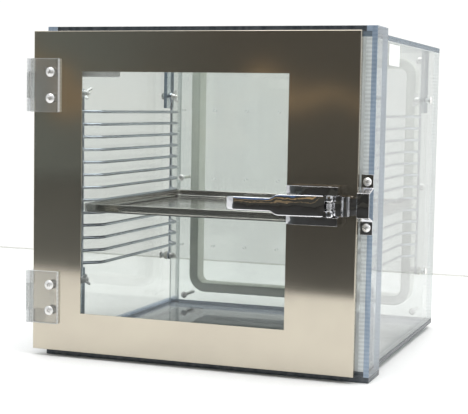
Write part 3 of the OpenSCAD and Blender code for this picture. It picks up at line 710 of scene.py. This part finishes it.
def build_rungs(side, node, uprights, name):
    """Bent wires with soft corners, and a weld bead where each meets its uprights."""
    bm = bmesh.new()
    wire_r = 1.6 * MM
    ys = [(low.y + high.y) / 2 for low, high in solids(uprights)]
    upright_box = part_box(uprights)
    wire_x = (upright_box[0].x if side > 0 else upright_box[1].x) + side * 1.4 * MM
    for low, high in solids(node):
        z = (low.z + high.z) / 2
        long_x = (low.x if side > 0 else high.x) + side * 1.72 * MM
        setback = 16.5 * MM
        corners = [
            Vector((wire_x, min(ys), z)),
            Vector((long_x, min(ys) + setback, z)),
            Vector((long_x, max(ys) - setback, z)),
            Vector((wire_x, max(ys), z)),
        ]
        add_tube(bm, rounded_path(corners, 5 * MM), wire_r, 12)
        for y in ys:
            bead = [(0.05, -2.1), (1.1, -1.9), (1.8, -1.1), (2.0, 0), (1.8, 1.1), (1.1, 1.9), (0.05, 2.1)]
            inward = Vector((-side * 0.7, -math.copysign(0.7, y), 0)).normalized()
            place = turned(inward, Vector((wire_x, y, z)) + inward * 0.4 * MM)
            add_lathe(bm, bead, place, 14)
    finish_piece(name, bm, WIRE, "cabinet", [node])


def build_tray():
    """A shallow tray with soft bends, rounded corners and a folded hem round its rim."""
    low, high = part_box("tray")
    centre = (low + high) / 2
    width, depth, height = high.x - low.x, high.y - low.y, high.z - low.z
    sheet, bend, corner, hem = 1.2 * MM, 2.6 * MM, 5 * MM, 2.2 * MM
    profile = []

    def arc(inset, z, radius, start, end, steps=5):
        for k in range(steps + 1):
            a = math.radians(start + (end - start) * k / steps)
            profile.append((inset - radius * math.cos(a), z + radius * math.sin(a)))

    profile.append((bend + 1 * MM, 0.0))
    arc(bend, bend, bend, -90, 0)
    arc(hem / 2, height - hem / 2, hem / 2, 0, 180, 8)
    profile.append((hem, height - 3.6 * MM))
    profile.append((hem - 0.35 * MM, height - 3.9 * MM))
    profile.append((sheet, height - 3.7 * MM))
    arc(sheet + bend, sheet + bend, bend, 0, -90)
    profile.append((sheet + bend + 3 * MM, sheet))

    bm = bmesh.new()
    rings = []
    for inset, z in profile:
        outline = rounded_rectangle(width - 2 * inset, depth - 2 * inset, corner - inset * 0.6, 6)
        rings.append([Vector((centre.x + x, centre.y + y, low.z + z)) for x, y in outline])
    add_rings(bm, rings)
    finish_piece("tray_pan", bm, TRAY_STEEL, "shelf_tray", ["tray"], 50.0)


# ---------------------------------------------------------------- door


def build_skin():
    """The door's sheet with a bent outer edge and a finely broken window edge."""
    bm = cad_copy("door_skin")
    low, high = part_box("door_skin")

    def on_rim(vert):
        x_end = min(vert.co.x - low.x, high.x - vert.co.x) < 0.01 * MM
        z_end = min(vert.co.z - low.z, high.z - vert.co.z) < 0.01 * MM
        return vert.co.y - low.y < 0.01 * MM and (x_end or z_end)

    rim = [e for e in bm.edges if all(on_rim(v) for v in e.verts)]
    bmesh.ops.bevel(bm, geom=rim, offset=1.0 * MM, segments=4, profile=0.5, affect="EDGES", clamp_overlap=True)
    window = [e for e in bm.edges if e.is_manifold and e.calc_face_angle(0) > math.radians(50)]
    bmesh.ops.bevel(bm, geom=window, offset=0.2 * MM, segments=2, profile=0.6, affect="EDGES", clamp_overlap=True)
    finish_piece("door_skin_panel", bm, DOOR_STEEL, "door", ["door_skin"], 40.0)


def build_door():
    build_skin()
    screws("door_hinge_screws", "hinge_door_screws", -Y_AXIS, HINGE_HEAD_R, HEAD_H, (55, 70, 40, 65))
    screws("body_hinge_screws", "hinge_body_screws", -X_AXIS, HINGE_HEAD_R, HEAD_H)
    eased("hinge_spacers", "hinge_spacer_blocks", HINGE_X, 0.5)
    for place in ("upper", "lower"):
        eased(f"{place}_hinge_door_leaf", f"{place}_hinge_front_leaf", HINGE_Y, 0.5)
        eased(f"{place}_hinge_body_leaf", f"{place}_hinge_side_leaf", HINGE_X, 0.5)
        build_pin(f"{place}_hinge_pin", f"{place}_hinge_axle", CAD[f"{place}_hinge_pin"]["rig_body"])


def build_pin(node, name, body):
    """A round pin with domed ends."""
    low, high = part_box(node)
    radius, height = (high.x - low.x) / 2 / MM, (high.z - low.z) / MM
    at = Matrix.Translation(((low.x + high.x) / 2, (low.y + high.y) / 2, low.z))
    profile = [(0.05, 0), (radius * 0.6, 0.05), (radius * 0.93, 0.3), (radius, 0.7), (radius, height - 0.7)]
    profile += [(radius * 0.93, height - 0.3), (radius * 0.6, height - 0.05), (0.05, height)]
    bm = bmesh.new()
    add_lathe(bm, profile, at, 28)
    return finish_piece(name, bm, BRIGHT_STEEL, body, [node])


def add_plate(bm, centre, width, height, thickness, radius, axis="y"):
    """A thin raised plate with eased edges on a face that looks along -Y or +X."""
    rings = []
    ease = min(0.15 * MM, thickness * 0.6)
    for out, inset in ((0, 0), (thickness - ease, 0), (thickness, ease)):
        outline = rounded_rectangle(width - 2 * inset, height - 2 * inset, radius, 5)
        if axis == "y":
            ring = [centre + Vector((a, -out, b)) for a, b in outline]
        elif axis == "-y":
            ring = [centre + Vector((a, out, b)) for a, b in outline]
        else:
            ring = [centre + Vector((out, a, b)) for a, b in outline]
        rings.append(ring)
    add_rings(bm, rings)


def build_marks():
    """Two blank labels. The marks and lettering on the real cabinet are left out."""
    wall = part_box("right_wall")
    bm = bmesh.new()
    at = Vector((wall[1].x, wall[0].y + 90 * MM, wall[1].z - 12.5 * MM))
    add_plate(bm, at, 44 * MM, 20 * MM, 0.15 * MM, 1 * MM, "x")
    finish_piece("wall_label", bm, PAPER, "cabinet")

    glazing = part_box("door_glazing")
    bm = bmesh.new()
    at = Vector((glazing[0].x + 64 * MM, glazing[1].y, glazing[1].z - 35.5 * MM))
    add_plate(bm, at, 46 * MM, 13 * MM, 0.15 * MM, 1.6 * MM, "-y")
    finish_piece("door_label", bm, PAPER, "door")


# ---------------------------------------------------------------- latch


def between(table, s):
    """The row of numbers at s, smoothly between a table's rows of (s, numbers)."""
    for (s0, row0), (s1, row1) in zip(table, table[1:]):
        if s <= s1:
            t = (s - s0) / (s1 - s0)
            return [a + (b - a) * t for a, b in zip(row0, row1)]
    return table[-1][1]


def build_handle():
    """The lever: a crowned grip that widens into two shoulders, then a boss round the pivot."""
    low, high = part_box("latch_handle")
    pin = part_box("latch_pivot_pin")
    pivot = middle(pin)
    front = low.y / MM
    # distance from the pivot: half height, front, back (both from the lever's frontmost line)
    table = [
        (-92.5, (4.7, 3.5, 6.4)),
        (-91.4, (5.7, 2.8, 6.6)),
        (-89.0, (6.0, 1.6, 6.6)),
        (-85.6, (6.0, 0.0, 6.6)),
        (-84.5, (6.0, 0.0, 6.6)),
        (-51.0, (6.0, 0.35, 6.7)),
        (-48.5, (7.2, 0.5, 6.9)),
        (-46.5, (8.8, 0.6, 7.0)),
        (-44.0, (9.35, 0.8, 7.2)),
        (-30.0, (9.4, 2.3, 8.6)),
        (-12.0, (9.4, 5.6, 12.0)),
        (-5.0, (9.4, 7.8, 13.6)),
        (-3.2, (9.2, 8.6, 13.8)),
    ]
    stations = [-92.5, -92.0, -91.4, -90.2, -89.0, -87.4, -85.8, -84.8]
    stations += [-83 + 2 * k for k in range(40)]
    stations += [-3.2]
    bm = bmesh.new()
    rings = []
    for s in sorted(set(x for x in stations if x <= -3.2)):
        half, out, back = between(table, s)
        rim, top_rim = 1.0, 0.5
        crown = half * min(1.0, max(0.0, (s + 90) / 6)) * min(1.0, max(0.0, (-6 - s) / 6))
        section = []
        for k in range(5):
            a = math.radians(90 * k / 4)
            section.append((out + 0.015 * crown + rim * (1 - math.sin(a)), -half + rim - rim * math.cos(a)))
        for k in range(1, 8):
            z = -half + rim + (2 * half - rim - top_rim) * k / 8
            section.append((out + crown * (0.09 if z > 0 else 0.015) * (z / half) ** 2, z))
        for k in range(5):
            a = math.radians(90 * k / 4)
            section.append((out + 0.09 * crown + top_rim * (1 - math.cos(a)), half - top_rim * (1 - math.sin(a))))
        section += [(back - 0.5, half), (back, half - 0.5), (back, -half + 0.5), (back - 0.5, -half)]
        x = pivot.x + s * MM
        rings.append([Vector((x, (front + y) * MM, pivot.z + z * MM)) for y, z in section])
    add_rings(bm, rings)

    gap, wide = (high.z - low.z) / 2 / MM - 5.1, (high.z - low.z) / 2 / MM
    for side in (1, -1):
        place = Matrix.Translation((pivot.x, pivot.y, pivot.z))
        heights = (gap, gap + 0.4, wide - 0.4, wide)
        radii = (3.7, 4.0, 4.0, 3.7)
        profile = [(r, side * h) for r, h in zip(radii, heights)]
        profile += [(2.15, side * wide), (2.15, side * gap)]
        angles = [2 * math.pi * i / 32 for i in range(32)]
        tube = []
        for radius, height in profile:
            ring = [Vector((radius * math.cos(a), radius * math.sin(a), height)) * MM for a in angles]
            tube.append([place @ p for p in ring])
        add_rings(bm, tube, closed=True)
        ear = []
        for x, inset in ((-7.0, 0.0), (-3.4, 0.0), (-1.6, 0.6)):
            y0, y1 = (front + 8.2) * MM + inset * MM, pivot.y - 0.6 * MM
            z0, z1 = side * (gap + 1.2), side * wide
            corners = ((y0, z0), (y1, z0), (y1, z1), (y0, z1))
            ear.append([Vector((pivot.x + x * MM, y, pivot.z + z * MM)) for y, z in corners])
        add_rings(bm, ear)
    crank = [(0.05, -8), (1.0, -8), (1.2, -7.7), (1.2, -4.3), (1.0, -4), (0.05, -4)]
    add_lathe(bm, crank, Matrix.Translation((pivot.x, pivot.y + 6.8 * MM, pivot.z)), 20)
    web = []
    for y in (3.0, 6.8):
        corners = ((-1, -8), (1, -8), (1, -4), (-1, -4))
        web.append([pivot + Vector((x, y, z)) * MM for x, z in corners])
    add_rings(bm, web)
    finish_piece("latch_lever", bm, CHROME, "handle", ["latch_handle"], 38.0)


def build_spring():
    """A torsion spring: six turns round the pin and two short legs."""
    low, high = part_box("latch_spring")
    centre = middle((low, high))
    wire_r = 0.45 * MM
    radius = (high.x - low.x) / 2 - wire_r
    bottom, top = low.z + wire_r, high.z - wire_r
    turns = 5.5
    steps = 120
    points = [Vector((centre.x + radius, centre.y + 2.6 * MM, bottom))]
    for k in range(steps + 1):
        a = 2 * math.pi * turns * k / steps
        z = bottom + (top - bottom) * k / steps
        points.append(Vector((centre.x + radius * math.cos(a), centre.y + radius * math.sin(a), z)))
    points.append(points[-1] + Vector((0, 2.6 * MM, 0)))
    bm = bmesh.new()
    add_tube(bm, points, wire_r, 10)
    body = CAD["latch_spring"]["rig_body"]
    finish_piece("latch_torsion_spring", bm, SPRING_STEEL, body, ["latch_spring"])


def build_latch():
    eased("latch_housing", "latch_housing_rails", CHROME, 0.7, 40.0, 3, 15.0)
    eased("latch_bolt", "latch_bolt_slide", CHROME, 0.4, 40.0, 2)
    eased("strike_plate", "strike_plate_hat", CHROME, 0.4, 40.0, 3)
    build_pin("latch_pivot_pin", "latch_pivot_axle", CAD["latch_pivot_pin"]["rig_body"])
    screws("latch_pan_screws", "latch_screws", -Y_AXIS, SMALL_HEAD_R, HEAD_H)
    build_spring()
    build_handle()


# ---------------------------------------------------------------- stage, lights and camera


def stage_quad(name, corners, material):
    mesh = bpy.data.meshes.new(name)
    mesh.from_pydata(corners, [], [tuple(range(len(corners)))])
    mesh.materials.append(material)
    made = bpy.data.objects.new(name, mesh)
    bpy.context.scene.collection.objects.link(made)
    return made


def across(g, parts, start=-0.35, end=0.4):
    """0 at the left of the room in front of the cabinet and 1 at its right."""
    slant = g.math("ADD", parts.outputs[0], g.math("MULTIPLY", parts.outputs[1], -0.45))
    return g.spread(slant, 0.0, 1.0, start, end)


def floor_material():
    """A pale table that ends in shade some way in front of the cabinet."""
    g = Graph("pale_floor")
    parts = g.node("ShaderNodeSeparateXYZ", inputs={0: g.place()})
    ahead = g.math("ADD", g.math("MULTIPLY", parts.outputs[0], -0.15), parts.outputs[1])
    shade = g.math("MULTIPLY", g.spread(ahead, 1.0, 0.0, -0.67, -0.64), across(g, parts, -0.9, -0.7))
    grain = g.noise(g.place(), 500.0, 3.0)
    table = g.blend(g.spread(grain, 0.0, 1.0), (0.86, 0.86, 0.85), (0.83, 0.83, 0.82))
    shaded = g.blend(across(g, parts), (0.07, 0.078, 0.078), (0.022, 0.022, 0.02))
    inputs = {
        "Base Color": g.blend(shade, table, shaded),
        "Roughness": g.spread(grain, 0.5, 0.6),
        "Specular IOR Level": 0.3,
    }
    return g.done(g.node("ShaderNodeBsdfPrincipled", inputs=inputs).outputs[0])


def one_sided(g, colour, strength):
    """Light of a colour from a face's front, and nothing from its back."""
    lit = g.node("ShaderNodeEmission", inputs={"Color": colour, "Strength": strength}).outputs[0]
    clear = g.node("ShaderNodeBsdfTransparent").outputs[0]
    back = g.node("ShaderNodeNewGeometry").outputs["Backfacing"]
    return g.done(g.mix(back, lit, clear))


def backdrop_material():
    g = Graph("white_backdrop")
    cloth = g.noise(g.place(), 2.0, 2.0)
    return one_sided(g, g.blend(g.spread(cloth, 0.0, 1.0), (1.0, 1.0, 0.985), (0.97, 0.975, 0.96)), 1.06)


def room_material():
    """The dim room that the metal mirrors: grey to the left, nearly black to the right,
    with warm and blue bands at different heights."""
    g = Graph("dim_room")
    parts = g.node("ShaderNodeSeparateXYZ", inputs={0: g.place()})
    sway = g.math("MULTIPLY", g.noise(g.place(), 2.2, 2.0), 0.8)
    height = g.math("ADD", parts.outputs[2], g.math("ADD", sway, -0.4))
    colour = g.blend(across(g, parts), (0.13, 0.158, 0.16), (0.06, 0.058, 0.05))
    for middle_z, half, shade in (
        (0.30, 0.05, (0.30, 0.22, 0.13)),
        (0.68, 0.09, (0.42, 0.29, 0.15)),
        (1.05, 0.14, (0.10, 0.17, 0.32)),
        (1.55, 0.20, (0.34, 0.36, 0.38)),
    ):
        away = g.math("ABSOLUTE", g.math("ADD", height, -middle_z))
        colour = g.blend(g.spread(away, 1.0, 0.0, 0.4 * half, half), colour, shade)
    return one_sided(g, colour, 1.0)


def build_stage():
    floor_z = -0.3 * MM
    reach = 6.0
    corners = [(-reach, -reach, floor_z), (reach, -reach, floor_z), (reach, reach, floor_z), (-reach, reach, floor_z)]
    stage_quad("floor", corners, floor_material())
    wall_y = 0.612
    corners = [(-4, wall_y, floor_z), (4, wall_y, floor_z), (4, wall_y, 3), (-4, wall_y, 3)]
    stage_quad("backdrop", corners, backdrop_material())
    # Painted shade: a thin grey strip along the foot of the backdrop stands for the shade in the crease where it
    # meets the floor.
    crease_y, crease_z = wall_y - 1 * MM, 2 * MM
    corners = [(-4, crease_y, floor_z), (4, crease_y, floor_z), (4, crease_y, crease_z), (-4, crease_y, crease_z)]
    stage_quad("backdrop_crease_shade", corners, moulded("crease", (0.62, 0.62, 0.58), (0.7, 0.7, 0.66), (0.6, 0.8)))
    dark_y = -2.9
    corners = [(2.2, dark_y, floor_z), (-2.5, dark_y, floor_z), (-2.5, dark_y, 1.7), (2.2, dark_y, 1.7)]
    stage_quad("dark_surround", corners, room_material())


def add_area(name, place, aim, size, energy, colour=(1, 1, 1)):
    light = bpy.data.lights.new(name, "AREA")
    light.shape = "RECTANGLE"
    light.size, light.size_y = size
    light.energy = energy
    light.color = colour
    made = bpy.data.objects.new(name, light)
    bpy.context.scene.collection.objects.link(made)
    made.location = place
    made.rotation_euler = (Vector(aim) - Vector(place)).to_track_quat("-Z", "Y").to_euler()
    return made


def build_lights():
    world = bpy.data.worlds.new("studio")
    bpy.context.scene.world = world
    world.use_nodes = True
    background = world.node_tree.nodes["Background"]
    background.inputs["Color"].default_value = (0.93, 0.96, 1.0, 1)
    background.inputs["Strength"].default_value = 0.75
    add_area("overhead_softbox", (0.1, -0.25, 1.9), (0, 0, 0), (2.2, 1.6), 42)
    add_area("right_softbox", (1.7, -0.3, 1.0), (0, 0, 0.15), (1.0, 1.0), 7)


def build_camera():
    """The photograph's camera: a long lens, to the right of the door's middle and a little above."""
    low, high = cad_bounds
    centre = (low + high) / 2
    eye = Vector((centre.x + 0.42975, centre.y - 1.2300, low.z + 0.2463))
    yaw, pitch, roll = -0.34686, -0.080982, 0.018099
    ahead = Vector((math.sin(yaw) * math.cos(pitch), math.cos(yaw) * math.cos(pitch), math.sin(pitch)))
    right = Vector((math.cos(yaw), -math.sin(yaw), 0))
    up = right.cross(ahead)
    level_right = right * math.cos(roll) + up * math.sin(roll)
    level_up = up * math.cos(roll) - right * math.sin(roll)
    data = bpy.data.cameras.new("photo_camera")
    data.sensor_width = 36
    data.lens = 95.96
    data.clip_start, data.clip_end = 0.05, 50
    camera = bpy.data.objects.new("photo_camera", data)
    bpy.context.scene.collection.objects.link(camera)
    rotation = Matrix((level_right, level_up, -ahead)).transposed().to_4x4()
    camera.matrix_world = Matrix.Translation(eye) @ rotation
    bpy.context.scene.camera = camera


def build_view():
    scene = bpy.context.scene
    scene.view_settings.view_transform = "Standard"
    scene.cycles.transparent_max_bounces = 32


build_camera()
build_stage()
build_lights()
build_view()
build_chamber()
build_seals()
build_inlet()
build_chamber_screws()
build_uprights(-1, "left_rack_uprights", "left_upright_wires")
build_uprights(1, "right_rack_uprights", "right_upright_wires")
build_rungs(-1, "left_rack_rungs", "left_rack_uprights", "left_rung_wires")
build_rungs(1, "right_rack_rungs", "right_rack_uprights", "right_rung_wires")
build_tray()
build_door()
build_marks()
build_latch()
